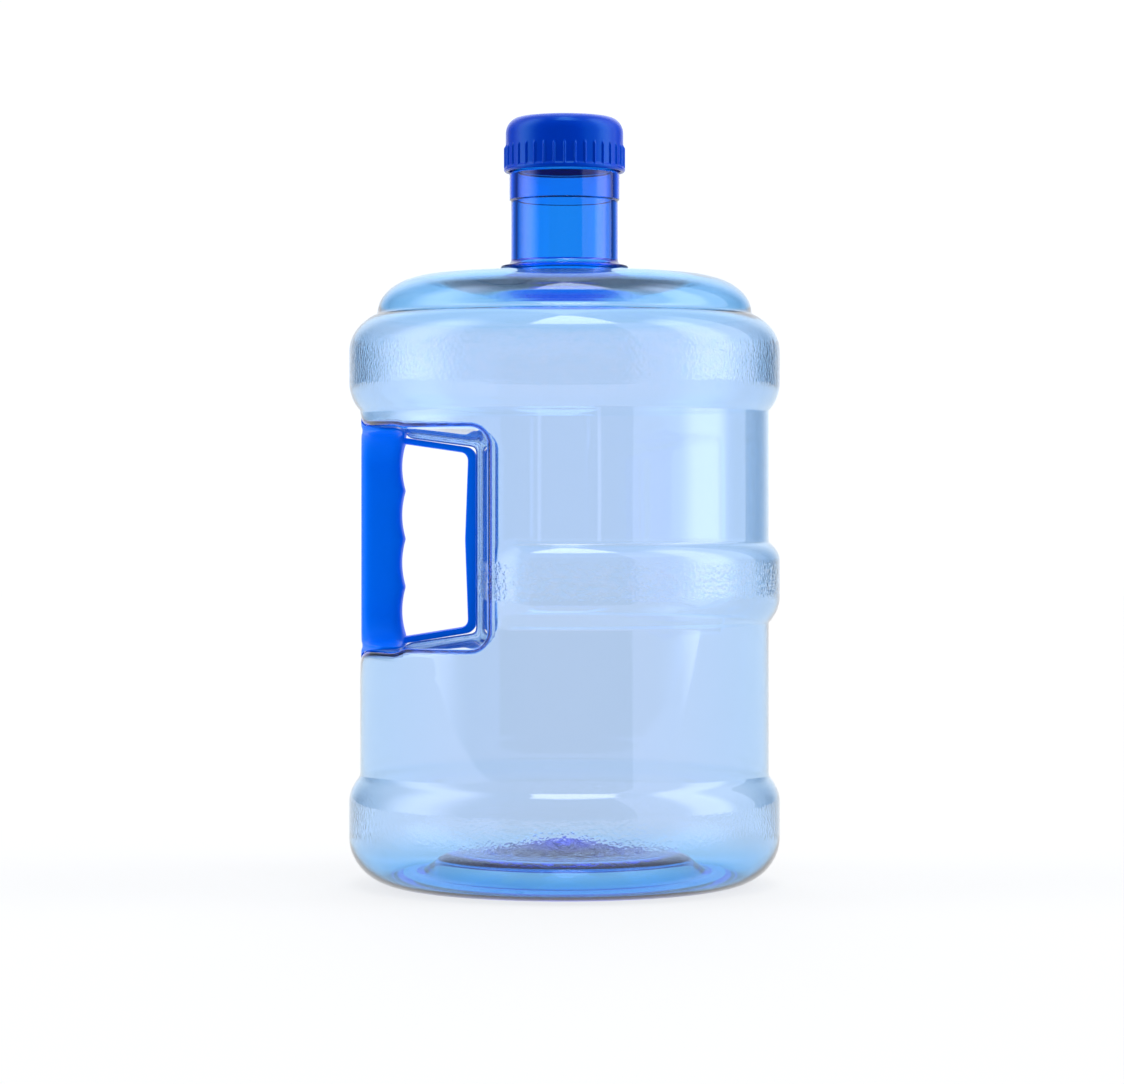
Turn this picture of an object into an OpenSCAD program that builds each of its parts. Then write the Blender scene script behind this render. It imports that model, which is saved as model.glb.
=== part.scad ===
/* [Bottle] */
// Outer radius of the three raised bands
band_r = 107.5; // [100:0.5:115]
// Outer radius of the plain wall between the bands
wall_r = 102; // [96:0.5:104]
// Thickness of the blown wall
wall_t = 1.0; // [0.8:0.1:1.6]
// Height of the shoulder's crest above the table
shoulder_z = 303; // [300:0.5:306]
// Depth of the dish between the crest and the neck
dish_h = 6.4; // [5:0.1:7]
// Height of the groove between the shoulder and the upper band
groove_z = 284; // [280:1:286]
// Outer radius at that groove
groove_r = 93.5; // [88:0.5:96]
// Outer radius of the flat ring that the bottle stands on
foot_r = 82; // [78:1:86]
// Height of the rounded edge between foot and bottom band
heel_h = 23.5; // [18:0.5:26]
// Height of the middle of the pushed-up base
push_h = 15; // [12:1:18]

/* [Neck] */
// Outer radius of the plain neck
neck_r = 26.7; // [26:0.1:27]
// Outer radius of the crown band, half of the 55 mm dispenser size
crown_r = 27.5; // [27.2:0.1:27.5]
// Radius of the bore through the neck
bore_r = 23.6; // [22:0.1:24]
// Height of the lower edge of the crown band
crown_z = 341; // [335:1:345]
// Height of the mouth's rim
rim_z = 376.7; // [376:0.1:377]
// Radius of the support ring at the foot of the neck
support_r = 32; // [30:0.5:34]

/* [Cap] */
// Outer radius of the cap over its grip ribs
cap_r = 30.3; // [30.3:0.1:31]
// Depth of the grip ribs
rib_h = 0.9; // [0.6:0.1:1.2]
// Number of grip ribs
rib_count = 36; // [24:2:48]
// Height of the cap's lower edge when it is closed
cap_z = 355.3; // [355:0.1:356]
// Height of the middle of the cap's top when it is closed
top_z = 383; // [383:0.1:384]
// Thickness of the sealing disc
gasket_t = 1.8; // [1.5:0.1:1.8]
// Rise of the cap in one full turn
thread_lead = 12; // [12]
// Number of thread starts
thread_starts = 3; // [3]
// Height of the thread ridges
thread_h = 1.4; // [1.2:0.1:1.4]

/* [Handle] */
// Width of the grip bar, front to back
grip_w = 26; // [20:1:28]
// Distance between two finger ridges
finger_pitch = 24; // [22:0.5:25]
// Depth of the finger hollows
finger_d = 1.8; // [1:0.1:2.2]
// Width of the arms and the rear bar, front to back
ring_w = 18; // [14:1:22]

/* [Hidden] */
$fn = 96;

// ---- bottle outline, from the base outwards and up ----
pushRimR = 62;
pushRimZ = 11;
footInR = 72;
lowBandTop = 41.5;
lowWallZ = 54;
midBandLow = 143.5;
midBandHigh = 161.5;
midWallLow = 130.5;
midWallHigh = 170.5;
upWallZ = 236;
upBandLow = 250;
upBandHigh = 266;
curveSteps = 8;
midBandEndX = -27;
domeZ = shoulder_z + 5;
domeShare = 0.74;
dishShape = [
    [76.5, 0.17], [74, 0.06], [71.5, 0.01], [69, 0], [66.5, 0.05], [64, 0.19], [61, 0.44],
    [57, 0.72], [52, 0.92], [46, 1], [40, 0.94], [35, 0.72], [31, 0.34], [28.6, -0.06],
    [27.9, -0.37]
];

function lerp(a, b, t) = a + (b - a) * t;

// A band's edge: full at the band (r0, z0) and dropping to the wall (r1, z1)
function bandEdge(r0, z0, r1, z1, fullness) =
    [for (i = [0:curveSteps]) let(t = i / curveSteps)
        [r1 + (r0 - r1) * pow(1 - t * t, fullness), lerp(z0, z1, t)]];

function reversed(list) = [for (i = [len(list) - 1:-1:0]) list[i]];

// The rounded edge from the foot ring up to the bottom band
function heel(inset) =
    [for (i = [0:2 * curveSteps]) let(a = 90 * i / (2 * curveSteps))
        [foot_r + (band_r - foot_r - inset) * sin(a), heel_h - (heel_h - inset) * cos(a)]];

// The shoulder: a superellipse from the groove up to the crest
function shoulder(inset) =
    [for (i = [0:curveSteps]) let(u = domeShare * sin(90 * i / curveSteps) )
        [(groove_r - inset) * pow(1 - pow(u, 2.2), 0.253), lerp(groove_z, domeZ - inset, u)]];

// The dish around the neck, from the crest in to the neck's foot
function dish(inset) =
    [for (p = dishShape) [p[0], shoulder_z - inset - p[1] * dish_h]];

function base(inset) = [
    [0, push_h + inset],
    [pushRimR / 2, lerp(push_h, pushRimZ, 0.35) + inset],
    [pushRimR - 3, pushRimZ + 0.6 + inset],
    [pushRimR, pushRimZ - 1 + inset],
    [footInR - 1 + inset / 2, 0.8 + inset],
    [footInR + inset / 2, inset]];

// Half outline of the bottle, moved inwards by inset; the middle band can be left out
function outline(inset, midBand) = concat(
    base(inset),
    heel(inset),
    bandEdge(band_r - inset, lowBandTop, wall_r - inset, lowWallZ, 1.4),
    midBand ? concat(
        reversed(bandEdge(band_r - inset, midBandLow, wall_r - inset, midWallLow, 0.9)),
        bandEdge(band_r - inset, midBandHigh, wall_r - inset, midWallHigh, 0.9)) : [],
    reversed(bandEdge(band_r - inset, upBandLow, wall_r - inset, upWallZ, 0.85)),
    bandEdge(band_r - inset, upBandHigh, groove_r - inset, groove_z, 0.75),
    shoulder(inset),
    dish(inset),
    [[0, shoulder_z - inset]]);

// ---- handle pocket and hand opening, seen from the front ----
pocketRearX = -35;
pocketTop = 228.3;
pocketBottom = 118.9;
pocketCorner = 9;
waistRearX = -45.1;
waistTopLeft = 221.5;
waistTopRight = 216.7;
waistBottomLeft = 121;
waistBottomRight = 126.3;
waistCorner = 2.5;
keyDepth = 1;
ribRise = 3.3;
ribLip = 0.7;
gripInX = -79.5;
footTop = 227.4;
footBottom = 117.6;
flareR = 6.5;
barFrontX = -48.1;
barRearX = waistRearX + keyDepth;
windowTopLeft = 219.4;
windowTopRight = 214.8;
windowBottomLeft = 123.4;
windowBottomRight = 128.4;
fingerRidgeZ = 172;
fingerR = (finger_pitch * finger_pitch / 4 + finger_d * finger_d) / (2 * finger_d);
handleR = wall_r - 0.5;
footT = 3;
footLength = 84;
footFillet = 16;
neckFootZ = shoulder_z - 1;
supportZ = shoulder_z + 4;
supportT = 1.3;
supportFillet = 1.6;

// Extrudes an outline drawn in X and Z evenly to both sides of the middle plane
module frontExtrude(width) {
    rotate([90, 0, 0]) translate([0, 0, -width / 2]) linear_extrude(width) children();
}

// The thin plate on one side of the middle that a drafted pocket side starts or ends at
module plateAt(y) {
    translate([0, y, 0]) frontExtrude(0.2) children();
}

module mouthOutline(grow) {
    for (z = [pocketBottom + pocketCorner, pocketTop - pocketCorner])
        translate([pocketRearX - pocketCorner, z]) circle(pocketCorner + grow, $fn = 32);
    translate([-115, pocketBottom - grow]) square([10, pocketTop - pocketBottom + 2 * grow]);
}

module waistOutline(grow) {
    polygon([
        [-115, waistTopLeft + grow],
        [gripInX, waistTopLeft + grow],
        [waistRearX - waistCorner, waistTopRight + grow],
        [waistRearX + grow, waistTopRight - waistCorner],
        [waistRearX + grow, waistBottomRight + waistCorner],
        [waistRearX - waistCorner, waistBottomRight - grow],
        [gripInX, waistBottomLeft - grow],
        [-115, waistBottomLeft - grow]]);
}

// Where the pocket's roof and floor roll out to the bottle's outside
module flareOutline(grow) {
    difference() {
        translate([-115, footBottom - flareR])
            square([115 - wall_r + flareR + 0.7, footTop - footBottom + 2 * flareR]);
        for (side = [-1, 1])
            translate([flareR + 0.7 - wall_r, side > 0 ? footTop + flareR : footBottom - flareR])
                circle(flareR - grow);
    }
}

// The space that the handle and the hand take out of the bottle
module pocket(grow) {
    for (side = [-1, 1]) hull() {
        plateAt(side * (band_r + 2)) mouthOutline(grow);
        plateAt(side * (ring_w / 2 + ribLip - grow)) waistOutline(ribRise + grow);
    }
    frontExtrude(ring_w + 2 * ribLip) waistOutline(2 * grow);
    frontExtrude(2 * band_r) {
        translate([-115, footBottom - grow])
            square([115 + gripInX + grow, footTop - footBottom + 2 * grow]);
        flareOutline(grow);
    }
}

module revolved(inset) {
    rotate_extrude() polygon(outline(inset, false));
    difference() {
        rotate_extrude() polygon(outline(inset, true));
        translate([-150 + midBandEndX + inset, -150, lowWallZ]) cube([150, 300, upWallZ - lowWallZ]);
    }
}

module bottle_body() {
    color([0.72, 0.82, 0.95, 0.45]) difference() {
        union() {
            difference() {
                revolved(0);
                revolved(wall_t);
            }
            intersection() {
                revolved(0);
                pocket(wall_t);
            }
        }
        pocket(0);
        ringSeat();
        translate([0, 0, groove_z]) cylinder(r = neck_r, h = 60);
        handle();
    }
}

// ---- handle ----
module windowOutline() {
    polygon([
        [gripInX, windowTopLeft],
        [barFrontX, windowTopRight],
        [barFrontX, windowBottomRight],
        [gripInX, windowBottomLeft]]);
    intersection() {
        translate([gripInX - finger_d, windowBottomLeft])
            square([finger_d + 1, windowTopLeft - windowBottomLeft]);
        for (i = [-2:1])
            translate([gripInX - finger_d + fingerR, fingerRidgeZ + (i + 0.5) * finger_pitch])
                circle(fingerR);
    }
}

module ringOutline(grow) {
    polygon([
        [gripInX - 4, waistTopLeft + grow],
        [gripInX, waistTopLeft + grow],
        [waistRearX - waistCorner, waistTopRight + grow],
        [barRearX, waistTopRight - waistCorner],
        [barRearX, waistBottomRight + waistCorner],
        [waistRearX - waistCorner, waistBottomRight - grow],
        [gripInX, waistBottomLeft - grow],
        [gripInX - 4, waistBottomLeft - grow]]);
}

// The channel around the pocket's waist that the ring sits in
module ringSeat() {
    frontExtrude(ring_w) ringOutline(keyDepth);
}

// Grip bar with its two feet, seen from the front
module gripOutline() {
    translate([-handleR, footBottom]) square([handleR + gripInX, footTop - footBottom]);
    intersection() {
        flareOutline(0);
        translate([-handleR, 0]) square([handleR + gripInX, 2 * domeZ]);
    }
}

// Grip bar with its two feet, seen from the side: narrow in the middle and wide at both ends
module gripSideOutline() {
    footHalf = footLength / 2;
    filletStart = grip_w / 2 + footFillet;
    square([grip_w, 2 * domeZ], center = true);
    for (side = [-1, 1]) translate([0, side > 0 ? footTop - footT : footBottom + footT]) {
        translate([-footHalf, side > 0 ? 0 : -flareR - footT]) square([footLength, flareR + footT]);
        difference() {
            translate([-filletStart, side > 0 ? -footFillet : 0]) square([2 * filletStart, footFillet]);
            for (end = [-1, 1]) translate([end * filletStart, -side * footFillet]) circle(footFillet);
        }
    }
}

module handle() {
    color([0, 0.37, 0.98]) difference() {
        union() {
            frontExtrude(ring_w) ringOutline(keyDepth);
            intersection() {
                frontExtrude(2 * band_r) gripOutline();
                rotate([90, 0, 90]) translate([0, 0, -band_r]) linear_extrude(band_r) gripSideOutline();
                cylinder(r = handleR, h = 2 * domeZ);
            }
        }
        frontExtrude(footLength + 1) windowOutline();
    }
}

// ---- neck ----
threadR = 25.3;
threadClear = 0.5;
crownTop = cap_z - 0.3;
threadZ = 361;
ridgeSpacing = thread_lead / thread_starts;
ridgeRoot = 1.9;
ridgeCrest = 0.9;
ridgeSink = 0.4;
ridgeStep = 12;
threadTurn = 5;
neckSweep = 228;
capSweep = 204;

// One helical thread ridge that starts at angle 0 and height 0; out is 1 for a ridge
// that stands outwards from radius r and -1 for one that stands inwards
module threadRidge(r, out, sweep) {
    n = sweep / ridgeStep;
    sections = [for (i = [0:n])
        let(
            a = i * ridgeStep,
            z = thread_lead * a / 360,
            grown = min(1, 0.2 + i / 2, 0.2 + (n - i) / 2),
            crestR = r + out * thread_h * grown,
            rootR = r - out * ridgeSink)
        [for (p = [[rootR, -ridgeRoot], [crestR, -ridgeCrest], [crestR, ridgeCrest], [rootR, ridgeRoot]])
            [p[0] * cos(a), p[0] * sin(a), z + p[1] / 2]]];
    walls = [for (i = [0:n - 1]) for (k = [0:3])
        let(
            near = 4 * i + k,
            nearNext = 4 * i + (k + 1) % 4,
            far = near + 4,
            farNext = nearNext + 4)
        each [[near, far, nearNext], [nearNext, far, farNext]]];
    faces = concat([[0, 1, 2, 3]], walls, [[4 * n + 3, 4 * n + 2, 4 * n + 1, 4 * n]]);
    polyhedron(
        [for (section = sections) each section],
        out > 0 ? [for (face = faces) reversed(face)] : faces);
}

module threadSet(r, out, sweep, z) {
    for (i = [0:thread_starts - 1])
        rotate([0, 0, threadTurn + i * 360 / thread_starts])
            translate([0, 0, z]) threadRidge(r, out, sweep);
}

module bottle_neck() {
    color([0, 0.45, 0.95, 0.6]) {
        difference() {
            union() {
                translate([0, 0, neckFootZ]) cylinder(r = neck_r, h = crown_z - neckFootZ);
                translate([0, 0, supportZ]) cylinder(r = support_r, h = supportT);
                translate([0, 0, supportZ + supportT])
                    cylinder(r1 = neck_r + supportFillet, r2 = neck_r, h = supportFillet);
                translate([0, 0, crown_z]) cylinder(r = crown_r, h = crownTop - crown_z);
                translate([0, 0, crownTop]) cylinder(r = threadR, h = rim_z - crownTop);
                threadSet(threadR, 1, neckSweep, threadZ);
            }
            translate([0, 0, neckFootZ - 1]) cylinder(r = bore_r, h = rim_z);
        }
    }
}

// ---- cap ----
capTopR = cap_r - rib_h;
capInR = threadR + thread_h + threadClear;
capMouthR = crown_r + threadClear;
capRoofZ = rim_z + gasket_t;
capDomeR = 22;
capDomeZ = 374.5;
capRimH = 2;
ribTopZ = 369;
ribR = 1.2;
mouthChamfer = 3;
roofChamfer = 1.6;

function capOutside() = concat(
    [[cap_r, cap_z], [cap_r, cap_z + capRimH], [capTopR, cap_z + capRimH + 0.5], [capTopR, capDomeZ]],
    [for (i = [1:curveSteps]) let(a = 90 * i / curveSteps)
        [capDomeR + (capTopR - capDomeR) * cos(a), lerp(capDomeZ, top_z - 0.4, sin(a))]],
    [[0, top_z]]);

function capInside() = [
    [0, capRoofZ],
    [capInR - roofChamfer, capRoofZ],
    [capInR, capRoofZ - roofChamfer],
    [capInR, cap_z + mouthChamfer],
    [capMouthR, cap_z + mouthChamfer - 0.5],
    [capMouthR, cap_z]];

module cap_shell() {
    color([0, 0.25, 0.8]) {
        rotate_extrude() polygon(concat(capOutside(), capInside()));
        for (i = [0:rib_count - 1]) rotate([0, 0, i * 360 / rib_count])
            translate([cap_r - ribR, 0, cap_z + 1]) cylinder(r = ribR, h = ribTopZ - cap_z - 1);
        threadSet(capInR, -1, capSweep, threadZ - ridgeSpacing / 2);
    }
}

module cap_gasket() {
    color([0.93, 0.94, 0.95])
        translate([0, 0, rim_z]) cylinder(r = threadR + 0.1, h = gasket_t);
}

bottle_body();
bottle_neck();
handle();
cap_shell();
cap_gasket();
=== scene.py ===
import math

import bpy
import mathutils
import numpy as np
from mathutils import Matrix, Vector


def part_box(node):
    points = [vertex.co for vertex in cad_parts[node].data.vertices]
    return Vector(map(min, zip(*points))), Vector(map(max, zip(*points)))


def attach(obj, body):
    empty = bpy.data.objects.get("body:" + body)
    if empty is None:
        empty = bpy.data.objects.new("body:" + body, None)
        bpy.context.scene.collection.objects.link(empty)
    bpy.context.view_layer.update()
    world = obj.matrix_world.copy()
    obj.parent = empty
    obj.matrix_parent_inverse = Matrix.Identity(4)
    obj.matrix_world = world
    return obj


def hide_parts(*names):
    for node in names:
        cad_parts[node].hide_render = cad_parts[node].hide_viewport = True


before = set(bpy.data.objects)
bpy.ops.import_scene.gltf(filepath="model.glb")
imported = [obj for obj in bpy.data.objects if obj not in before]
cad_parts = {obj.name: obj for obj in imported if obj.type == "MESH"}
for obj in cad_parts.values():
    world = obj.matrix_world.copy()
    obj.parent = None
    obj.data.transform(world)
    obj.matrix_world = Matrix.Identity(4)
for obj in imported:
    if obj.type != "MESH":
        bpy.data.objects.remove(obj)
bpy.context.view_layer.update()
mm = 0.001


def cadCorners(node):
    return [np.array(corner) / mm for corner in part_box(node)]


bodyHigh = cadCorners("bottle_body")[1]
neckHigh = cadCorners("bottle_neck")[1]
handleLow, handleHigh = cadCorners("handle")
capLow, capHigh = cadCorners("cap_shell")
discLow, discHigh = cadCorners("cap_gasket")
print("frame loaded")

viewSetup = {
    "distance": 1750,
    "height": 186.5,
    "sideways": -1.25,
    "lens": 112.1,
    "sensor": 36.0,
    "shift": -0.02847,
}


def addCamera(setup):
    data = bpy.data.cameras.new("camera")
    data.lens = setup["lens"]
    data.sensor_width = setup["sensor"]
    data.shift_y = setup["shift"]
    data.clip_end = 50
    camera = bpy.data.objects.new("camera", data)
    camera.location = (setup["sideways"] * mm, -setup["distance"] * mm, setup["height"] * mm)
    camera.rotation_euler = (math.pi / 2, 0, 0)
    bpy.context.collection.objects.link(camera)
    bpy.context.scene.camera = camera


addCamera(viewSetup)


# Mesh helpers; lengths are in millimetres until meshFromGrid.
def smoothStep(t):
    t = np.clip(t, 0, 1)
    return t * t * (3 - 2 * t)


def pathLength(path):
    return np.hypot(*np.diff(np.asarray(path, float), axis=0).T).sum()


def resample(path, count):
    path = np.asarray(path, float)
    step = np.hypot(*np.diff(path, axis=0).T)
    along = np.concatenate([[0], np.cumsum(step)])
    wanted = np.linspace(0, along[-1], count)
    return np.stack([np.interp(wanted, along, path[:, k]) for k in range(path.shape[1])], -1)


def soften(points, rounds):  # rounds the corners of an open run of points, ends held
    for _ in range(rounds):
        points[1:-1] = 0.25 * points[:-2] + 0.5 * points[1:-1] + 0.25 * points[2:]
    return points


def softPath(points, spacing, rounds):
    return soften(resample(points, max(4, int(pathLength(points) / spacing))), rounds)


def lathe(profile, angles, radiusOf=None):
    r = np.repeat(profile[:, :1], len(angles), axis=1)
    z = np.repeat(profile[:, 1:], len(angles), axis=1)
    if radiusOf is not None:
        r = radiusOf(r, z, angles[None, :])
    return np.stack([r * np.cos(angles), r * np.sin(angles), z], -1)


def squareOff(wave, squareness):  # a sine or cosine, pushed out from a circle towards a square
    return np.sign(wave) * np.abs(wave) ** (2 / squareness)


def gridNormals(grid):
    alongRow = np.roll(grid, -1, axis=1) - np.roll(grid, 1, axis=1)
    alongColumn = np.gradient(grid, axis=0)
    normal = np.cross(alongRow, alongColumn)
    return normal / np.maximum(np.linalg.norm(normal, axis=2, keepdims=True), 1e-9)


def meshFromGrid(name, grid, closed=False):
    rows, columns = grid.shape[:2]
    points = grid.reshape(-1, 3)
    index = np.arange(rows * columns).reshape(rows, columns)
    upper = np.roll(index, -1, axis=0) if closed else index[1:]
    lower = index if closed else index[:-1]
    turned = [np.roll(part, -1, axis=1) for part in (lower, upper)]
    faces = np.stack([lower, turned[0], turned[1], upper], -1).reshape(-1, 4).tolist()
    if not closed:  # a fan closes the first and the last ring
        first, last = rows * columns, rows * columns + 1
        points = np.vstack([points, grid[0].mean(0), grid[-1].mean(0)])
        faces += [[first, index[0, (k + 1) % columns], index[0, k]] for k in range(columns)]
        faces += [[last, index[-1, k], index[-1, (k + 1) % columns]] for k in range(columns)]
    mesh = bpy.data.meshes.new(name)
    mesh.from_pydata((points * mm).tolist(), [], faces)
    mesh.polygons.foreach_set("use_smooth", np.ones(len(mesh.polygons), bool))
    mesh.update()
    piece = bpy.data.objects.new(name, mesh)
    bpy.context.collection.objects.link(piece)
    return piece


# The bottle, as one closed mesh: outside, neck, inside.
bottle = {
    "bandR": bodyHigh[0],
    "wallR": 102,
    "wallThick": 0.43,
    "grooveR": 93.5,
    "grooveZ": 284,
    "shoulderZ": bodyHigh[2] + 2.6,
    "footR": 82,
    "footInR": 73,
    "heelZ": 23.5,
    "pushR": 61,
    "pushZ": 12,
    "pushTop": 15,
    "pushPower": 1.6,
    "nubRise": 0.8,
    "nubWide": 3.5,
    "lowBandTop": 41.5,
    "lowWallZ": 54,
    "lowFullness": 1.0,
    "lowSplitZ": 106,
    "midBandLow": (130.5, 143.5),
    "midBandHigh": (161.5, 170.5),
    "midBandEnds": (-16, -35),
    "midFullness": 0.9,
    "upSplitZ": 236,
    "upBand": (250, 266),
    "upFullness": (0.85, 0.75),
    "shoulderPowers": (2.2, 0.253),
    "columnSpacing": 1.4,
    "rowSpacing": 1.4,
    "dish": [
        (79, -7), (76.5, -6.1), (74, -5.4), (71.5, -5.05), (69, -5), (66.5, -5.25), (64, -5.9), (61, -7),
        (57, -8.4), (52, -9.5), (46, -10), (40, -9.7), (35, -8.5), (31, -6.4), (28.6, -4.2), (27.9, -2.6)],
}
pocket = {
    "rearX": -36.4,
    "top": 226.4,
    "bottom": 120,
    "corner": 9,
    "ringHalf": 9.2,
    "ribStep": 0.7,
    "ribRise": 2.2,
    "seatX": handleHigh[0] + 0.1,
    "seatTop": (222.6, 217.8),
    "seatBottom": (119.9, 125.2),
    "gripX": -79.5,
    "footTop": 227.5,
    "footBottom": 117.5,
    "flare": 5.6,
    "rounds": 3,
    "bulge": -0.5,
}
thread = {
    "lead": 12,
    "starts": 3,
    "height": 1.4,
    "root": 1.9,
    "crest": 0.9,
    "turn": 5,
    "z": 361,
    "sweep": 228,
    "fade": 24,
}


def bandEdge(r0, z0, r1, z1, fullness):
    t = np.sin(np.linspace(0, math.pi / 2, 14))
    return np.stack([r1 + (r0 - r1) * (1 - t * t) ** fullness, z0 + (z1 - z0) * t], -1)


def lowerOutline(b):
    dish = np.linspace(0.8, b["pushR"] - 2, 24)
    nub = b["nubRise"] * np.exp(-(dish / b["nubWide"]) ** 2)
    rise = b["pushTop"] + (b["pushZ"] - b["pushTop"]) * (dish / b["pushR"]) ** b["pushPower"] + nub
    turn = np.radians(np.linspace(0, 90, 24))
    heelR = b["footR"] + (b["bandR"] - b["footR"]) * np.sin(turn)
    heel = np.stack([heelR, b["heelZ"] * (1 - np.cos(turn))], -1)
    step = [
        [b["pushR"] + 0.5, b["pushZ"] - 0.6],
        [b["pushR"] + 2, b["pushZ"] - 2.2],
        [b["footInR"] - 3, 1.6],
        [b["footInR"], 0],
    ]
    return np.vstack([
        np.stack([dish, rise], -1),
        step,
        heel,
        bandEdge(b["bandR"], b["lowBandTop"], b["wallR"], b["lowWallZ"], b["lowFullness"]),
        [[b["wallR"], b["lowSplitZ"]]],
    ])


def upperOutline(b):
    u = np.sin(np.radians(np.linspace(0, 89, 60)))
    power, root = b["shoulderPowers"]
    shoulder = np.stack([
        b["grooveR"] * (1 - u ** power) ** root,
        b["grooveZ"] + (b["shoulderZ"] - b["grooveZ"]) * u,
    ], -1)
    low, high = b["upBand"]
    below, above = b["upFullness"]
    dish = np.array([(r, b["shoulderZ"] + drop) for r, drop in b["dish"]])
    return np.vstack([
        bandEdge(b["bandR"], low, b["wallR"], b["upSplitZ"], below)[::-1],
        bandEdge(b["bandR"], high, b["grooveR"], b["grooveZ"], above),
        shoulder[shoulder[:, 0] > dish[0, 0] + 1],
        dish,
    ])


def rearRadius(angle):  # distance from the axis to the pocket's rear wall
    c, s = math.cos(angle), abs(math.sin(angle))
    if c > -0.05:
        return 1e3
    p = pocket
    nearY = math.sqrt(bottle["wallR"] ** 2 - p["rearX"] ** 2)
    stepY, deepX = p["ringHalf"] + p["ribStep"], p["seatX"] + p["ribRise"]
    slope = (p["rearX"] - deepX) / (nearY - stepY)
    drafted = (-deepX + slope * stepY) / (slope * s - c)
    seat = p["seatX"] / c
    onRib = smoothStep((stepY - drafted * s) / p["ribStep"])
    return drafted + (seat - drafted) * onRib


def pocketEdge(x, y, side):  # height of the pocket's roof (side 1) or floor (side -1)
    p = pocket
    nearY = math.sqrt(max(bottle["wallR"] ** 2 - x * x, (p["ringHalf"] + 1) ** 2))
    stepY = p["ringHalf"] + p["ribStep"]
    t = np.clip((abs(y) - stepY) / max(nearY - stepY, 1), 0, 1)
    besideRing = smoothStep((abs(y) - p["ringHalf"]) / p["ribStep"])
    rib = p["ribRise"] * besideRing * smoothStep((x - p["gripX"]) / 3)
    mouth = p["top"] if side > 0 else p["bottom"]
    into = x - (p["rearX"] - p["corner"])
    if into > 0:
        mouth -= side * (p["corner"] - math.sqrt(max(0, p["corner"] ** 2 - into * into)))
    left, right = p["seatTop"] if side > 0 else p["seatBottom"]
    seat = left + (right - left) * np.clip((x - p["gripX"]) / (p["seatX"] - p["gripX"]), 0, 1)
    seat += side * rib
    z = seat + (mouth - seat) * t * (1 + p["bulge"] * (1 - t))
    foot = p["footTop"] if side > 0 else p["footBottom"]
    z += (foot - z) * smoothStep((p["gripX"] + 1 - x) / 2)
    out = p["flare"] - (bottle["wallR"] - 0.6 + x)
    if out > 0:
        z += side * (p["flare"] - math.sqrt(max(0, p["flare"] ** 2 - out * out)))
    return z


def middlePath(angle):
    wall, low, high = bottle["wallR"], bottle["lowSplitZ"], bottle["upSplitZ"]
    rear = rearRadius(angle)
    if rear >= wall:
        return [[wall, low], [wall, high]]
    across = np.linspace(rear, wall, 40)
    c, s = math.cos(angle), math.sin(angle)
    floor = [[r, pocketEdge(r * c, r * s, -1)] for r in across]
    roof = [[r, pocketEdge(r * c, r * s, 1)] for r in across]
    return [[wall, low]] + floor[::-1] + roof + [[wall, high]]


def bottleAngles():  # columns evenly spaced round the section through the hand opening
    fine = np.linspace(0, 2 * math.pi, 7201)
    r = np.array([min(bottle["wallR"], rearRadius(a)) for a in fine])
    step = np.hypot(np.diff(r * np.cos(fine)), np.diff(r * np.sin(fine)))
    along = np.concatenate([[0], np.cumsum(step)])
    count = int(along[-1] / bottle["columnSpacing"] / 2) * 2
    return np.interp(np.arange(count) * along[-1] / count, along, fine)


def midBandRise(angles, z):
    start, end = bottle["midBandEnds"]
    x = bottle["wallR"] * np.cos(angles)
    fade = smoothStep((x - end) / (start - end))
    lowOut, lowIn = bottle["midBandLow"]
    highIn, highOut = bottle["midBandHigh"]
    below = np.clip((lowIn - z) / (lowIn - lowOut), 0, 1)
    above = np.clip((z - highIn) / (highOut - highIn), 0, 1)
    return (bottle["bandR"] - bottle["wallR"]) * fade * (1 - (below + above) ** 2) ** bottle["midFullness"]


def softenGrid(grid, rounds, share):
    for _ in range(rounds):
        near = 0.25 * (np.roll(grid, 1, axis=1) + np.roll(grid, -1, axis=1)) + 0.5 * grid
        near[1:-1] = 0.25 * near[:-2] + 0.5 * near[1:-1] + 0.25 * near[2:]
        near[[0, -1]] = grid[[0, -1]]
        grid = grid + (near - grid) * share
    return grid


def outerWall(angles):
    b, spacing = bottle, bottle["rowSpacing"]
    lower = softPath(lowerOutline(b), spacing, 1)
    upper = softPath(upperOutline(b), spacing, 1)
    longest = max(pathLength(middlePath(a)) for a in angles)
    rows = int(longest / spacing)
    middle = np.stack([resample(middlePath(a), rows) for a in angles], 1)
    onWall = middle[..., 0] > b["wallR"] - 0.01
    middle[..., 0] += onWall * midBandRise(angles[None, :], middle[..., 1])
    r, z = [np.vstack([
        np.repeat(lower[:-1, k:k + 1], len(angles), 1),
        middle[..., k],
        np.repeat(upper[1:, k:k + 1], len(angles), 1),
    ]) for k in (0, 1)]
    grid = np.stack([r * np.cos(angles), r * np.sin(angles), z], -1)
    nearPocket = smoothStep((pocket["rearX"] + 16 - grid[..., 0]) / 8)
    aboveSplit = smoothStep((grid[..., 2] - b["lowSplitZ"] + 2) / 3)
    inHeight = aboveSplit * smoothStep((b["upSplitZ"] + 1 - grid[..., 2]) / 3)
    return softenGrid(grid, pocket["rounds"], (nearPocket * inHeight)[..., None])


def threadRise(spec, z, angles, start):  # height of the thread ridge at each point, 0 to 1
    rise = np.zeros(np.broadcast(z, angles).shape)
    for k in range(spec["starts"]):
        turned = np.degrees(angles) - spec["turn"] - 360 * k / spec["starts"]
        turned = turned % 360
        off = np.abs(z - start - spec["lead"] * turned / 360)
        flank = (spec["root"] / 2 - off) / ((spec["root"] - spec["crest"]) / 2)
        ends = np.clip(np.minimum(turned, spec["sweep"] - turned) / spec["fade"] + 0.1, 0, 1)
        inside = turned < spec["sweep"]
        rise = np.maximum(rise, np.clip(flank, 0, 1) * ends * inside)
    return rise


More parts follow.
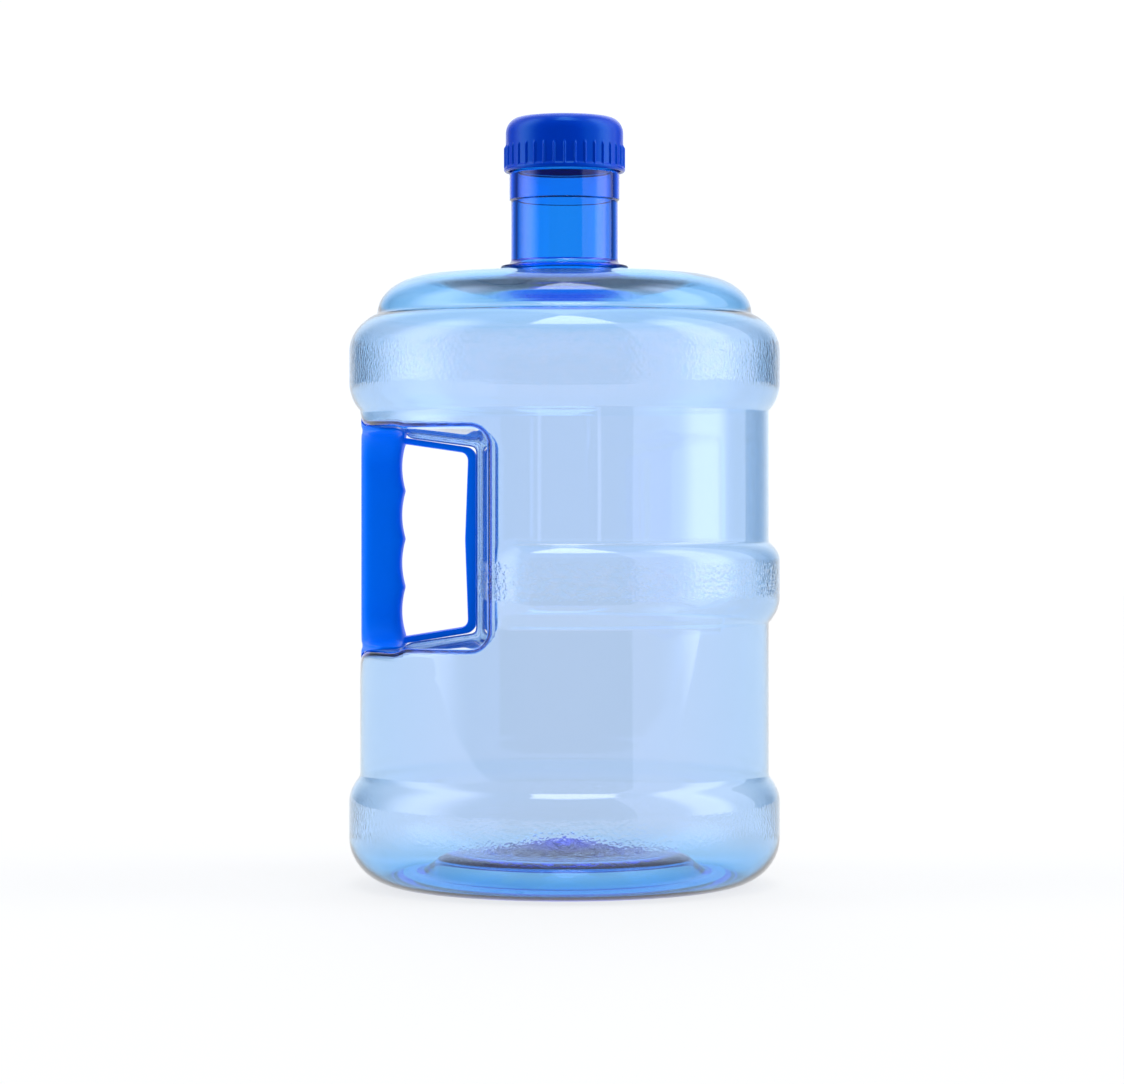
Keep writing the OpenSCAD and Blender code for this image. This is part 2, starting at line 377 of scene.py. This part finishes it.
neck = {
    "footR": 27.9,
    "plainR": 26.7,
    "crownR": 27.5,
    "threadR": 25.3,
    "boreR": 23.6,
    "lipR": 28.3,
    "rootR": (24.1, 24.9),
    "supportR": neckHigh[0],
    "crownZ": 341,
    "crownTop": capLow[2] - 0.3,
    "rimZ": neckHigh[2],
}


def neckRows():
    n, top = neck, bottle["shoulderZ"]
    foot = softPath([
        [n["footR"], top - 2.4], [n["footR"], top - 1.3],
        [n["supportR"], top - 0.9], [n["supportR"], top + 0.4],
        [n["lipR"], top + 1], [n["plainR"], top + 2.6], [n["plainR"], top + 6]], 0.5, 2)
    plain = softPath([[n["plainR"], top + 6], [n["plainR"], n["crownZ"] - 2]], 3, 0)
    crown = softPath([
        [n["plainR"], n["crownZ"] - 2], [n["plainR"], n["crownZ"] - 0.2], [n["crownR"], n["crownZ"] + 0.2],
        [n["crownR"], n["crownZ"] + 2]], 0.25, 1)
    band = softPath([[n["crownR"], n["crownZ"] + 2], [n["crownR"], n["crownTop"] - 1.5]], 2, 0)
    finish = softPath([
        [n["crownR"], n["crownTop"] - 1.5], [n["crownR"], n["crownTop"]],
        [n["threadR"], n["crownTop"] + 0.4], [n["threadR"], n["rimZ"]],
        [n["boreR"], n["rimZ"]], [n["boreR"], n["rimZ"] - 3]], 0.35, 2)
    upper, lower = n["rootR"]
    inside = softPath([
        [n["boreR"], n["rimZ"] - 3], [n["boreR"], top + 1], [upper, top - 1.6], [lower, top - 2.8]], 2, 1)
    return np.vstack([foot, plain[1:], crown[1:], band[1:], finish[1:], inside[1:]])


wallBuild = {
    "shoulderFrom": 64,
    "shoulderTo": 34,
    "shoulderExtra": 3.6,
    "shoulderPower": 1.5,
    "shoulderSide": 0.33,
    "heelExtra": 0.6,
    "heelHigh": 24,
    "footExtra": 3.0,
    "dishExtra": 2.0,
    "gateExtra": 5.0,
    "gateR": 25,
    "lipExtra": 1.3,
}


def wallThickness(grid):
    b, w = bottle, wallBuild
    r = np.hypot(grid[..., 0], grid[..., 1])
    z = grid[..., 2]
    inward = np.clip((w["shoulderFrom"] - r) / (w["shoulderFrom"] - w["shoulderTo"]), 0, 1)
    above = smoothStep((z - b["grooveZ"] + 4) / 8)
    root = above * (w["shoulderExtra"] * inward ** w["shoulderPower"] + w["shoulderSide"])
    low = smoothStep((b["heelZ"] - z) / 6)
    outside = smoothStep((r - b["pushR"] + 4) / 8)
    heel = w["heelExtra"] * smoothStep((w["heelHigh"] - z) / w["heelHigh"]) * outside
    foot = low * w["footExtra"] * np.exp(-((r - b["footInR"] - 3) / 9) ** 2)
    dish = low * w["dishExtra"] * smoothStep((b["pushR"] + 4 - r) / 8)
    gate = low * w["gateExtra"] * np.exp(-(r / w["gateR"]) ** 2)
    behind = b["wallR"] - r
    inPocket = (z > b["lowSplitZ"]) & (z < b["upSplitZ"]) & (grid[..., 0] < 0)
    lip = inPocket * w["lipExtra"] * smoothStep(behind / 1.5) * smoothStep((8 - behind) / 4)
    return b["wallThick"] + root + heel + foot + dish + gate + lip


pebbles = [
    {"low": 7, "high": 26, "reach": 44, "cell": 3.0, "rise": 0.6},
    {"low": 144, "high": 161, "reach": 200, "cell": 2.8, "rise": 0.09},
    {"low": 248, "high": 272, "reach": 200, "cell": 2.8, "rise": 0.11},
]


def pebbleRise(grid, zones):  # the mould's pebbled zones, on one face of the wall only
    r = np.hypot(grid[..., 0], grid[..., 1])
    z = grid[..., 2]
    total = np.zeros(z.shape)
    for zone in zones:
        share = smoothStep((z - zone["low"]) / 4) * smoothStep((zone["high"] - z) / 4)
        share = share * smoothStep((zone["reach"] - r) / 6)
        for row, column in np.argwhere(share > 0.01):
            spot = mathutils.Vector(grid[row, column] / zone["cell"])
            total[row, column] += share[row, column] * zone["rise"] * mathutils.noise.noise(spot)
    return total


def addBottle():
    angles = bottleAngles()
    outer = outerWall(angles)
    thick = wallThickness(outer)
    normals = gridNormals(outer)
    inner = outer - normals * (thick + pebbleRise(outer, pebbles[:1]))[..., None]
    outer = outer + normals * pebbleRise(outer, pebbles[1:])[..., None]

    def withThread(r, z, a):
        rise = threadRise(thread, z, a, thread["z"])
        onThread = np.abs(r - neck["threadR"]) < 0.2
        return r + rise * thread["height"] * onThread

    top = lathe(neckRows(), angles, withThread)
    return meshFromGrid("bottle", np.vstack([outer, top, inner[::-1]]))


bottlePiece = addBottle()
print("bottle", len(bottlePiece.data.vertices), "points")

# The screw cap and the sealing disc in its top.
cap = {
    "r": capHigh[0],
    "low": capLow[2],
    "top": capHigh[2],
    "ribRise": 0.9,
    "ribs": 36,
    "ribWide": 0.85,
    "ribTop": 369,
    "rimHigh": 2,
    "domeR": 22,
    "domeZ": 374.5,
    "domeFall": 0.45,
    "insideR": 27.2,
    "mouthR": 28,
    "perRib": 16,
    "threadSweep": 204,
}


def addCap():
    c = cap
    smoothR = c["r"] - c["ribRise"]
    turn = np.radians(np.linspace(0, 90, 24))
    dome = np.stack([
        c["domeR"] + (smoothR - c["domeR"]) * np.cos(turn),
        c["domeZ"] + (c["top"] - c["domeFall"] - c["domeZ"]) * np.sin(turn),
    ], -1)
    roof = discHigh[2]
    rim = [
        [c["r"] - 0.6, c["low"]],
        [c["r"], c["low"] + 0.5],
        [c["r"], c["low"] + c["rimHigh"]],
        [smoothR, c["low"] + c["rimHigh"] + 0.6],
    ]
    outside = softPath(np.vstack([rim, dome, [[0.5, c["top"]]]]), 0.5, 1)
    inside = softPath([
        [0.5, roof], [c["insideR"] - 1.6, roof], [c["insideR"], roof - 1.6],
        [c["insideR"], c["low"] + 3], [c["mouthR"], c["low"] + 2.4], [c["mouthR"], c["low"] + 0.4],
        [c["mouthR"] + 0.5, c["low"]], [c["r"] - 0.6, c["low"]]], 0.5, 1)
    profile = np.vstack([inside, outside[1:]])
    angles = np.arange(c["ribs"] * c["perRib"]) * 2 * math.pi / (c["ribs"] * c["perRib"])
    pitch = 2 * math.pi / c["ribs"]

    def withRibs(r, z, a):
        off = np.abs((a + pitch / 2) % pitch - pitch / 2) * c["r"]
        rib = smoothStep((c["ribWide"] / 2 + 0.35 - off) / 0.7)
        high = smoothStep((c["ribTop"] - z) / 2) * smoothStep((z - c["low"] - 1) / 1)
        outer = (np.arange(len(profile)) > len(inside))[:, None]
        gap = np.clip(c["r"] - r, 0, c["ribRise"])
        onWall = (np.abs(r - c["insideR"]) < 0.3) & ~outer
        start = thread["z"] - thread["lead"] / thread["starts"] / 2
        ridge = threadRise({**thread, "sweep": c["threadSweep"]}, z, a, start)
        return r + outer * rib * high * gap - onWall * ridge * thread["height"]

    return meshFromGrid("capShell", lathe(profile, angles, withRibs))


def addDisc():
    low, high, r = discLow[2], discHigh[2], discHigh[0]
    profile = softPath([
        [0.5, low], [r - 0.4, low], [r, low + 0.4],
        [r, high - 0.4], [r - 0.4, high], [0.5, high]], 0.4, 1)
    return meshFromGrid("sealingDisc", lathe(profile, np.linspace(0, 2 * math.pi, 128, endpoint=False)))


capPiece = addCap()
discPiece = addDisc()
print("cap", len(capPiece.data.vertices), "points")

# The handle: a grip bar and a ring around the hand opening, joined into one piece.
handle = {
    "outR": -handleLow[0],
    "inX": -79.5,
    "halfWide": 13,
    "footHalf": handleHigh[1],
    "footThick": 3,
    "fillet": 16,
    "top": 227.4,
    "bottom": 117.6,
    "flare": 5.5,
    "ridgeZ": 172,
    "pitch": 24,
    "hollow": 1.8,
    "squareness": 5.0,
    "withinWall": 0.97,
    "ringHalf": 9,
    "ringSquareness": 7,
    "fingerMiddle": 171.5,
    "fingerReach": 47.5,
    "ringOut": [
        (-84, 222.5), (-79.5, 222.5), (-46.9, 217.7), (-44.1, 214.9),
        (-44.1, 128.1), (-46.9, 125.3), (-79.5, 120), (-84, 120)],
    "ringIn": [
        (-82.6, 219.4), (-79.5, 219.4), (-50.1, 215.1), (-48.1, 212.6), (-49.6, 171.5),
        (-48.1, 130.5), (-50.1, 128.1), (-79.5, 123.4), (-82.6, 123.4)],
}


def gripSection(z):  # inner face's x and half width at a height
    h = handle
    inX = h["inX"]
    fromRidge = (z - h["ridgeZ"]) % h["pitch"] / h["pitch"]
    fingers = 4 * fromRidge * (1 - fromRidge) * h["hollow"]
    if abs(z - h["fingerMiddle"]) < h["fingerReach"]:
        inX = inX - fingers
    middle = (h["top"] + h["bottom"]) / 2
    reach = (h["top"] - h["bottom"]) / 2
    fromFoot = reach - h["footThick"] - abs(z - middle)
    if fromFoot > 0:
        into = max(0, h["fillet"] - fromFoot)
        half = h["halfWide"] + h["fillet"] - math.sqrt(h["fillet"] ** 2 - into * into)
    else:
        half = h["footHalf"]
    beyond = abs(z - middle) - reach
    if beyond > 0:
        inside = math.sqrt(max(0, h["flare"] ** 2 - (h["flare"] - beyond) ** 2))
        inX = -h["outR"] + h["flare"] - inside
        half = min(half, h["withinWall"] * math.sqrt(max(0.5, h["outR"] ** 2 - inX * inX)))
    return inX, half


def addGrip():
    h = handle
    middle = (h["top"] + h["bottom"]) / 2
    reach = (h["top"] - h["bottom"]) / 2 + h["flare"] - 0.3
    heights = np.linspace(middle - reach, middle + reach, 260)
    turn = np.linspace(0, 2 * math.pi, 96, endpoint=False)
    sideways = squareOff(np.sin(turn), h["squareness"])
    outwards = squareOff(np.cos(turn), h["squareness"])
    rows = []
    for z in heights:
        inX, half = gripSection(z)
        y = -half * sideways
        outX = -np.sqrt(h["outR"] ** 2 - y * y)
        x = inX + (outX - inX) * (1 + outwards) / 2
        rows.append(np.stack([x, y, np.full_like(x, z)], -1))
    grid = np.array(rows)
    grid = softenGrid(grid, 2, 1.0)
    return meshFromGrid("grip", grid)


def addRing():
    h = handle
    count = 240

    def loop(corners):
        path = resample(list(corners) + [corners[0]], count + 1)[:-1]
        for _ in range(2):
            path = 0.25 * np.roll(path, 1, 0) + 0.5 * path + 0.25 * np.roll(path, -1, 0)
        return path

    outer, inner = loop(h["ringOut"]), loop(h["ringIn"])
    turn = np.linspace(0, 2 * math.pi, 32, endpoint=False)
    across = (1 + squareOff(np.cos(turn), h["ringSquareness"])) / 2
    sideways = squareOff(np.sin(turn), h["ringSquareness"])
    rows = []
    for u, s in zip(across, sideways):
        flat = inner + (outer - inner) * u
        rows.append(np.stack([flat[:, 0], np.full(count, s * h["ringHalf"]), flat[:, 1]], -1))
    return meshFromGrid("ring", np.array(rows), closed=True)


def addHandle():
    grip, ring = addGrip(), addRing()
    union = grip.modifiers.new("union", "BOOLEAN")
    union.operation = "UNION"
    union.solver = "EXACT"
    union.object = ring
    whole = bpy.data.meshes.new_from_object(grip.evaluated_get(bpy.context.evaluated_depsgraph_get()))
    piece = bpy.data.objects.new("handleInsert", whole)
    bpy.context.collection.objects.link(piece)
    for part in (grip, ring):
        bpy.data.objects.remove(part)
    return piece


handlePiece = addHandle()
print("handle", len(handlePiece.data.vertices), "points")


# Materials, and the node groups that they share.
def node(tree, kind, place, inputs=None, **values):
    made = tree.nodes.new(kind)
    made.location = place
    for name, value in values.items():
        setattr(made, name, value)
    for key, value in (inputs or {}).items():
        made.inputs[key].default_value = value
    return made


def join(tree, start, end):
    tree.links.new(start, end)


def newGroup(name, inputs, outputs):
    group = bpy.data.node_groups.new(name, "ShaderNodeTree")
    for label, value, low, high in inputs:
        socket = group.interface.new_socket(label, in_out="INPUT", socket_type="NodeSocketFloat")
        socket.default_value, socket.min_value, socket.max_value = value, low, high
    for label in outputs:
        group.interface.new_socket(label, in_out="OUTPUT", socket_type="NodeSocketFloat")
    return group, node(group, "NodeGroupInput", (-900, 0)), node(group, "NodeGroupOutput", (900, 0))


def math2(tree, operation, place, first, second):
    made = node(tree, "ShaderNodeMath", place, operation=operation)
    for socket, value in zip(made.inputs, (first, second)):
        if hasattr(value, "links"):
            join(tree, value, socket)
        else:
            socket.default_value = value
    return made.outputs[0]


def ramp(tree, place, value, low, high, bottom, top):  # a smooth step between two levels
    made = node(tree, "ShaderNodeMapRange", place, interpolation_type="SMOOTHSTEP")
    for key, source in zip((0, 1, 2, 3, 4), (value, low, high, bottom, top)):
        if hasattr(source, "links"):
            join(tree, source, made.inputs[key])
        else:
            made.inputs[key].default_value = source
    return made.outputs[0]


def stippleGroup():  # the pebbled texture of the mould, inside one range of heights
    group, start, end = newGroup("mouldStipple", [
        ("Cell Size mm", 1.7, 0.2, 10), ("Low mm", 0, -1000, 1000), ("High mm", 400, -1000, 1000),
        ("Softness mm", 3, 0.1, 100), ("Reach mm", 1000, 1, 2000)], ["Height"])
    place = node(group, "ShaderNodeTexCoord", (-900, 300))
    parts = node(group, "ShaderNodeSeparateXYZ", (-700, 300))
    join(group, place.outputs["Object"], parts.inputs[0])
    z = math2(group, "MULTIPLY", (-500, 300), parts.outputs[2], 1000)
    lowEnd = math2(group, "ADD", (-500, 0), start.outputs["Low mm"], start.outputs["Softness mm"])
    highEnd = math2(group, "SUBTRACT", (-500, -200), start.outputs["High mm"], start.outputs["Softness mm"])
    above = ramp(group, (-250, 150), z, start.outputs["Low mm"], lowEnd, 0, 1)
    below = ramp(group, (-250, -100), z, highEnd, start.outputs["High mm"], 1, 0)
    scale = math2(group, "DIVIDE", (-500, 500), 1000, start.outputs["Cell Size mm"])
    cells = node(group, "ShaderNodeTexNoise", (-250, 450), {"Detail": 1.0, "Roughness": 0.4})
    join(group, place.outputs["Object"], cells.inputs["Vector"])
    join(group, scale, cells.inputs["Scale"])
    flat = node(group, "ShaderNodeVectorMath", (-700, 600), {1: (1000, 1000, 0)}, operation="MULTIPLY")
    join(group, place.outputs["Object"], flat.inputs[0])
    length = node(group, "ShaderNodeVectorMath", (-500, 650), operation="LENGTH")
    join(group, flat.outputs[0], length.inputs[0])
    edge = math2(group, "ADD", (-300, 700), start.outputs["Reach mm"], start.outputs["Softness mm"])
    near = ramp(group, (-100, 650), length.outputs["Value"], start.outputs["Reach mm"], edge, 1, 0)
    inside = math2(group, "MULTIPLY", (100, 0), near, math2(group, "MULTIPLY", (0, 0), above, below))
    join(group, math2(group, "MULTIPLY", (400, 200), inside, cells.outputs[0]), end.inputs["Height"])
    return group


def wavesGroup():  # slow unevenness of a blown or moulded skin
    group, start, end = newGroup("skinWaves", [
        ("Length mm", 40, 1, 400), ("Stretch", 1, 0.05, 20)], ["Height"])
    place = node(group, "ShaderNodeTexCoord", (-900, 300))
    stretch = node(group, "ShaderNodeCombineXYZ", (-700, 100), {0: 1.0, 1: 1.0})
    join(group, start.outputs["Stretch"], stretch.inputs[2])
    scaled = node(group, "ShaderNodeVectorMath", (-450, 200), operation="MULTIPLY")
    join(group, place.outputs["Object"], scaled.inputs[0])
    join(group, stretch.outputs[0], scaled.inputs[1])
    scale = math2(group, "DIVIDE", (-450, 0), 1000, start.outputs["Length mm"])
    waves = node(group, "ShaderNodeTexNoise", (-150, 200), {"Detail": 1.0, "Roughness": 0.3})
    join(group, scaled.outputs[0], waves.inputs["Vector"])
    join(group, scale, waves.inputs["Scale"])
    join(group, waves.outputs[0], end.inputs["Height"])
    return group


def satinGroup():  # small changes of shine and shade over a moulded surface
    group, start, end = newGroup("satinWear", [
        ("Roughness", 0.35, 0, 1), ("Variation", 0.1, 0, 1), ("Patch mm", 12, 0.5, 200)],
        ["Roughness", "Shade", "Grain"])
    place = node(group, "ShaderNodeTexCoord", (-900, 300))
    scale = math2(group, "DIVIDE", (-600, 100), 1000, start.outputs["Patch mm"])
    patches = node(group, "ShaderNodeTexNoise", (-350, 250), {"Detail": 4.0, "Roughness": 0.6})
    join(group, place.outputs["Object"], patches.inputs["Vector"])
    join(group, scale, patches.inputs["Scale"])
    centred = math2(group, "SUBTRACT", (-100, 250), patches.outputs[0], 0.5)
    swing = math2(group, "MULTIPLY", (100, 250), centred, start.outputs["Variation"])
    join(group, math2(group, "ADD", (350, 300), start.outputs["Roughness"], swing), end.inputs["Roughness"])
    join(group, math2(group, "ADD", (350, 100), 1, swing), end.inputs["Shade"])
    grain = node(group, "ShaderNodeTexNoise", (-350, -150), {"Scale": 2500.0, "Detail": 2.0})
    join(group, place.outputs["Object"], grain.inputs["Vector"])
    join(group, grain.outputs[0], end.inputs["Grain"])
    return group


stipple, waves, satin = stippleGroup(), wavesGroup(), satinGroup()


def groupNode(tree, group, place, inputs):
    made = node(tree, "ShaderNodeGroup", place, node_tree=group)
    for key, value in inputs.items():
        made.inputs[key].default_value = value
    return made


def bump(tree, place, height, distance, strength, normal=None):
    made = node(tree, "ShaderNodeBump", place, {"Strength": strength, "Distance": distance})
    join(tree, height, made.inputs["Height"])
    if normal:
        join(tree, normal, made.inputs["Normal"])
    return made.outputs[0]


def emptyMaterial(name):
    material = bpy.data.materials.new(name)
    material.use_nodes = True
    tree = material.node_tree
    return material, tree, tree.nodes["Principled BSDF"], tree.nodes["Material Output"]


clearPlastic = {
    "tint": (1.0, 0.875, 0.96, 1),
    "shineTint": (0.88, 0.8, 1, 1),
    "ior": 1.57,
    "absorb": (0.0, 0.765, 0.996, 1),
    "density": 800,
    "roughness": 0.03,
    "variation": 0.03,
    "patch": 25,
    "stippleBands": [
        {"low": 8, "high": 22, "cell": 2.2, "reach": 50, "rise": 0.0003},
        {"low": 24, "high": 44, "cell": 1.7, "reach": 1000, "rise": 0.00012},
        {"low": 142, "high": 163, "cell": 1.7, "reach": 1000, "rise": 0.00012},
        {"low": 246, "high": 270, "cell": 1.7, "reach": 1000, "rise": 0.0002},
    ],
    "waveHigh": 0.0002,
    "waveLong": 45,
    "waveStretch": 0.5,
}


def clearBlue():
    spec = clearPlastic
    material, tree, shader, output = emptyMaterial("clearBluePlastic")
    shader.inputs["IOR"].default_value = spec["ior"]
    shader.inputs["Transmission Weight"].default_value = 1
    shader.inputs["Specular Tint"].default_value = spec["shineTint"]
    finish = groupNode(tree, satin, (-700, 500), {
        "Roughness": spec["roughness"], "Variation": spec["variation"], "Patch mm": spec["patch"]})
    tint = node(tree, "ShaderNodeMix", (-400, 600), {6: spec["tint"], 7: (1, 1, 1, 1)}, data_type="RGBA")
    join(tree, math2(tree, "SUBTRACT", (-550, 700), 1.0, finish.outputs["Shade"]), tint.inputs[0])
    join(tree, tint.outputs[2], shader.inputs["Base Color"])
    join(tree, finish.outputs["Roughness"], shader.inputs["Roughness"])
    skin = groupNode(tree, waves, (-900, -100), {
        "Length mm": spec["waveLong"], "Stretch": spec["waveStretch"]})
    normal = bump(tree, (-600, -100), skin.outputs[0], spec["waveHigh"], 1.0)
    for step, band in enumerate(spec["stippleBands"]):
        texture = groupNode(tree, stipple, (-900, -300 - 220 * step), {
            "Cell Size mm": band["cell"], "Low mm": band["low"],
            "High mm": band["high"], "Reach mm": band["reach"]})
        normal = bump(tree, (-600, -300 - 220 * step), texture.outputs[0], band["rise"], 1.0, normal)
    join(tree, normal, shader.inputs["Normal"])
    absorb = node(tree, "ShaderNodeVolumeAbsorption", (0, -300), {
        "Color": spec["absorb"], "Density": spec["density"]})
    join(tree, absorb.outputs[0], output.inputs["Volume"])
    return material


solidSkin = {"shineTint": (0.05, 0.6, 1, 1), "patch": 9, "grainHigh": 0.00002, "grainShare": 0.6}


def solidPlastic(name, spec):
    material, tree, shader, output = emptyMaterial(name)
    shader.inputs["Specular IOR Level"].default_value = spec["shine"]
    shader.inputs["Specular Tint"].default_value = solidSkin["shineTint"]
    # Emission here is painted light: a glow in the piece's own colour that stands in for studio light
    # passing through the plastic, not a lamp.
    shader.inputs["Emission Color"].default_value = (*spec["color"], 1)
    shader.inputs["Emission Strength"].default_value = spec["paintedGlow"]
    finish = groupNode(tree, satin, (-800, 200), {
        "Roughness": spec["roughness"], "Variation": spec["variation"], "Patch mm": solidSkin["patch"]})
    shade = node(tree, "ShaderNodeMix", (-400, 300), {0: 1.0, 6: (*spec["color"], 1)},
                 data_type="RGBA", blend_type="MULTIPLY")
    join(tree, finish.outputs["Shade"], shade.inputs[7])
    join(tree, shade.outputs[2], shader.inputs["Base Color"])
    join(tree, finish.outputs["Roughness"], shader.inputs["Roughness"])
    grain = bump(tree, (-400, -100), finish.outputs["Grain"],
                 solidSkin["grainHigh"], solidSkin["grainShare"])
    join(tree, grain, shader.inputs["Normal"])
    return material


# The handle's glow is painted light: emission of its own blue standing in for light shining through the
# translucent plastic. The cap and the disc have none.
handleBlue = {"color": (0.0, 0.155, 0.97), "roughness": 0.45, "shine": 0.2, "paintedGlow": 0.25, "variation": 0.08}
capBlue = {"color": (0.0, 0.048, 0.64), "roughness": 0.24, "shine": 0.5, "paintedGlow": 0.0, "variation": 0.08}
discFoam = {"color": (0.8, 0.82, 0.85), "roughness": 0.6, "shine": 0.3, "paintedGlow": 0.0, "variation": 0.2}


def finishPiece(piece, body, nodes, material):
    piece.data.materials.clear()
    piece.data.materials.append(material)
    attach(piece, body)
    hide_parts(*nodes)


finishPiece(bottlePiece, "jug", ["bottle_body", "bottle_neck"], clearBlue())
finishPiece(handlePiece, "jug", ["handle"], solidPlastic("handleBlue", handleBlue))
finishPiece(capPiece, "cap", ["cap_shell"], solidPlastic("capBlue", capBlue))
finishPiece(discPiece, "gasket", ["cap_gasket"], solidPlastic("discFoam", discFoam))

# The floor and the light panels of the studio.
studio = {
    "ambient": (0.12, 0.165, 0.23),
    "panels": {
        "backdrop": {"turn": 180, "half": 30, "soft": 14, "low": -90, "high": 90, "edge": 1, "power": 0.9},
        "highBack": {"turn": 180, "half": 95, "soft": 30, "low": 22, "high": 95, "edge": 14, "power": 0.4},
        "overhead": {"turn": 8, "half": 37, "soft": 3, "low": 60, "high": 88, "edge": 3, "power": 4.4},
        "rightWide": {"turn": 80, "half": 42, "soft": 0.6, "low": -20, "high": 60, "edge": 6, "power": 0.8},
        "rightStrip": {"turn": 86, "half": 14, "soft": 7, "low": -25, "high": 60, "edge": 8, "power": 1.9},
        "leftSoft": {"turn": -86, "half": 18, "soft": 16, "low": -25, "high": 60, "edge": 8, "power": 2.2},
        "ceiling": {"turn": 0, "half": 200, "soft": 1, "low": 70, "high": 95, "edge": 10, "power": 0.2},
        "slitLeft": {"turn": -14, "half": 1, "soft": 0.6, "low": -1, "high": 1.6, "edge": 0.4, "power": 0.9},
        "slitRight": {"turn": 19, "half": 1, "soft": 0.6, "low": -1, "high": 1.6, "edge": 0.4, "power": 1.2},
    },
    "floorShade": 0.2,
    "floorGlow": 0.76,
    "floorRoughness": 0.9,
    "floorShine": 0.1,
    "floorX": 5.0,
    "floorY": (-0.66, 6.0),
}


def panelGroup():  # one soft-edged light panel, placed by turn and rise in degrees
    group, start, end = newGroup("lightPanel", [
        ("Turn", 0, -180, 180), ("Rise", 0, -90, 90), ("Centre", 0, -180, 180), ("Half Width", 10, 0, 200),
        ("Softness", 1, 0, 90), ("Low", 0, -90, 90), ("High", 90, -90, 100), ("Edge", 1, 0, 90),
        ("Power", 1, 0, 100)], ["Light"])
    port = start.outputs
    off = math2(group, "SUBTRACT", (-700, 400), port["Turn"], port["Centre"])
    wrapped = node(group, "ShaderNodeMath", (-500, 400), {1: 180.0, 2: -180.0}, operation="WRAP")
    join(group, off, wrapped.inputs[0])
    away = math2(group, "ABSOLUTE", (-300, 400), wrapped.outputs[0], 0)
    near = math2(group, "SUBTRACT", (-500, 200), port["Half Width"], port["Softness"])
    far = math2(group, "ADD", (-500, 50), port["Half Width"], port["Softness"])
    across = ramp(group, (0, 300), away, near, far, 1, 0)
    up = ramp(group, (0, 0), port["Rise"], math2(group, "SUBTRACT", (-300, 0), port["Low"], port["Edge"]),
              math2(group, "ADD", (-300, -150), port["Low"], port["Edge"]), 0, 1)
    lastFull = math2(group, "SUBTRACT", (-300, -300), port["High"], port["Edge"])
    down = ramp(group, (0, -300), port["Rise"], lastFull,
                math2(group, "ADD", (-300, -450), port["High"], port["Edge"]), 1, 0)
    shape = math2(group, "MULTIPLY", (300, 0), across, math2(group, "MULTIPLY", (200, -200), up, down))
    join(group, math2(group, "MULTIPLY", (600, 0), shape, port["Power"]), end.inputs["Light"])
    return group


def addSky(spec):
    world = bpy.data.worlds.new("studio")
    world.use_nodes = True
    tree = world.node_tree
    place = node(tree, "ShaderNodeTexCoord", (-1600, 0))
    parts = node(tree, "ShaderNodeSeparateXYZ", (-1400, 0))
    join(tree, place.outputs["Generated"], parts.inputs[0])
    ahead = math2(tree, "MULTIPLY", (-1200, -100), parts.outputs[1], -1)
    turn = math2(tree, "DEGREES", (-900, 0), math2(tree, "ARCTAN2", (-1050, 0), parts.outputs[0], ahead), 0)
    upward = math2(tree, "ARCSINE", (-1050, -200), parts.outputs[2], 0)
    rise = math2(tree, "DEGREES", (-900, -200), upward, 0)
    group = panelGroup()
    total = 0.0
    for step, panel in enumerate(spec["panels"].values()):
        light = groupNode(tree, group, (-700, 600 - 260 * step), {
            "Centre": panel["turn"], "Half Width": panel["half"], "Softness": panel["soft"],
            "Low": panel["low"], "High": panel["high"], "Edge": panel["edge"], "Power": panel["power"]})
        join(tree, turn, light.inputs["Turn"])
        join(tree, rise, light.inputs["Rise"])
        total = math2(tree, "ADD", (-400 + 40 * step, 600 - 200 * step), light.outputs[0], total)
    both = node(tree, "ShaderNodeVectorMath", (200, 100), {0: spec["ambient"]}, operation="ADD")
    join(tree, total, both.inputs[1])
    join(tree, both.outputs[0], tree.nodes["Background"].inputs["Color"])
    world.cycles.sampling_method = "MANUAL"
    world.cycles.sample_map_resolution = 1024
    bpy.context.scene.world = world


def addFloor(spec):
    side, (front, back) = spec["floorX"], spec["floorY"]
    mesh = bpy.data.meshes.new("floor")
    corners = [(-side, front, 0), (side, front, 0), (side, back, 0), (-side, back, 0)]
    mesh.from_pydata(corners, [], [(0, 1, 2, 3)])
    floor = bpy.data.objects.new("floor", mesh)
    bpy.context.collection.objects.link(floor)
    material, tree, shader, output = emptyMaterial("floorWhite")
    shade = spec["floorShade"]
    shader.inputs["Base Color"].default_value = (shade, shade, shade, 1)
    shader.inputs["Roughness"].default_value = spec["floorRoughness"]
    shader.inputs["Specular IOR Level"].default_value = spec["floorShine"]
    shader.inputs["Emission Color"].default_value = (1, 1, 1, 1)
    shader.inputs["Emission Strength"].default_value = spec["floorGlow"]
    mesh.materials.append(material)


addFloor(studio)
addSky(studio)
bpy.context.scene.view_settings.view_transform = "Standard"
print("studio ready")
